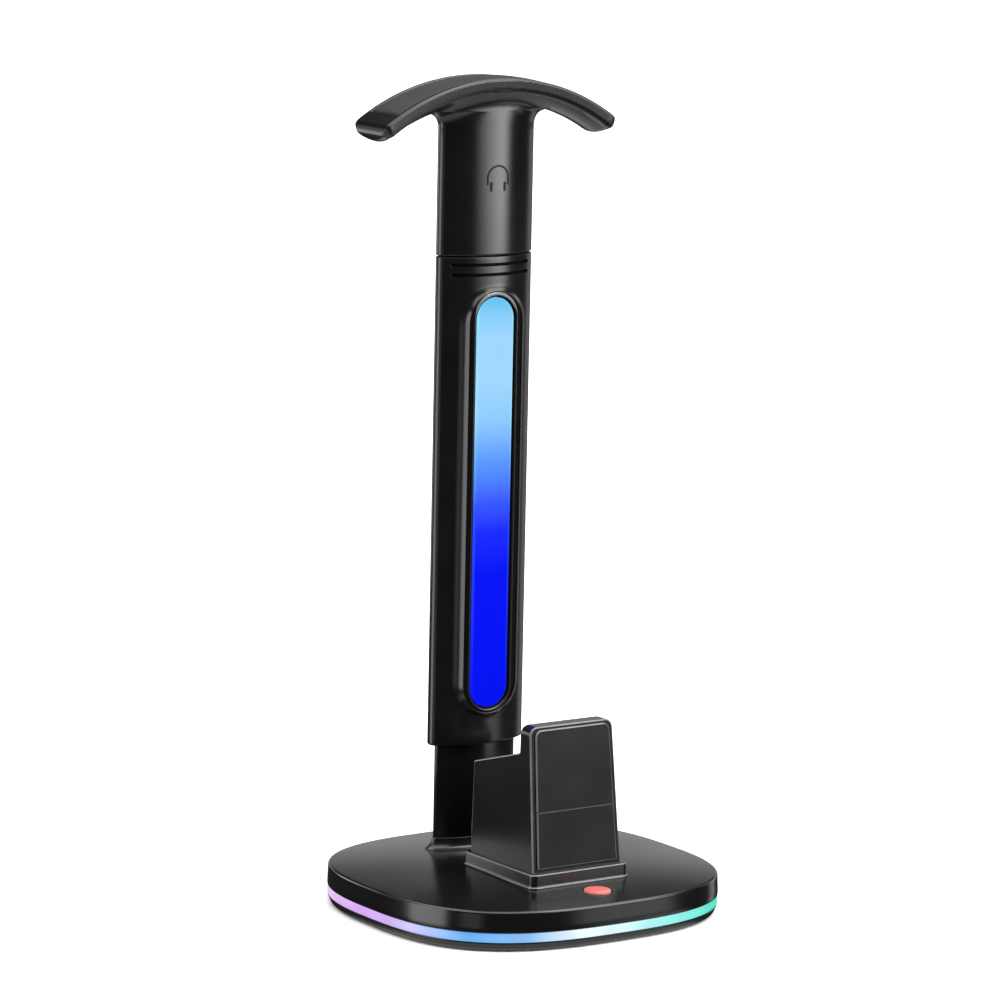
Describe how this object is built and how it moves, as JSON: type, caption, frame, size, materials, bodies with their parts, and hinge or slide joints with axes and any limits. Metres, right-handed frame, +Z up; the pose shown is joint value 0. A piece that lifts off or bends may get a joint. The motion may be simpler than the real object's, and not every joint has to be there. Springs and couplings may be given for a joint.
{
  "type": "headphone stand",
  "caption": "Free-standing headphone stand with a curved padded hanger on a lit lens-shaped column, a charging cradle and a rounded base with a light ring and a press button.",
  "frame": {"origin": "middle of the footprint, on the surface it stands on", "axes": "+Z up along the column, -Y is the front with the cradle and the button, +X to the right seen from the front"},
  "size_m": [0.154, 0.1446, 0.3469],
  "materials": {
    "satin_black": "satin black moulded plastic",
    "plate_black": "semi-gloss black plastic",
    "pad_silicone": "soft silicone",
    "feet_rubber": "matte rubber",
    "ring_light": "translucent light strip",
    "window_light": "translucent lit window",
    "coral": "satin coral plastic",
    "steel": "plated steel",
    "ballast": "bare iron",
    "circuit_green": "circuit board",
    "switch_black": "matte black plastic",
    "contact_gold": "gold-plated brass",
    "wire": "insulated wire",
    "led_white": "white board with lights"
  },
  "bodies": {
    "stand": {"rubber_feet": "feet_rubber", "base_bottom_shell": "satin_black", "base_light_ring": "ring_light", "ring_led_strip": "led_white", "base_top_cover": "satin_black", "base_screws": "steel", "ballast_plate": "ballast", "main_circuit_board": "circuit_green", "board_screws": "steel", "button_switch": "switch_black", "usb_c_inlet": "steel", "inlet_board": "circuit_green", "dock_plinth": "satin_black", "dock_screws": "steel", "dock_lower_body": "satin_black", "dock_upper_body": "satin_black", "dock_front_plate_lower": "plate_black", "dock_front_plate_upper": "plate_black", "dock_contact_board": "circuit_green", "charge_pin_housing": "switch_black", "dock_lead": "wire", "column_foot_collar": "satin_black", "column_pedestal": "satin_black", "column_lower_bush": "satin_black", "column_front_shell": "satin_black", "column_back_cover": "satin_black", "column_window_bezel": "plate_black", "column_diffuser": "window_light", "column_led_board": "led_white", "column_lead": "wire", "column_screws": "steel", "neck_spigot": "satin_black"},
    "button": {"mode_button": "coral"},
    "pins": {"charge_pins": "contact_gold"},
    "hanger": {"hanger_body": "satin_black", "hanger_pad": "pad_silicone"}
  },
  "joints": [
    {"name": "button_press", "type": "slide", "parent": "stand", "child": "button", "axis": [0, 0, -1], "range_m": [0, 0.0008], "stiffness_N_per_m": 400},
    {"name": "pins_press", "type": "slide", "parent": "stand", "child": "pins", "axis": [0, 0, -1], "range_m": [0, 0.0012], "stiffness_N_per_m": 300},
    {"name": "hanger_lift", "type": "slide", "parent": "stand", "child": "hanger", "axis": [0, 0, 1], "range_m": [0, 0.03]}
  ]
}
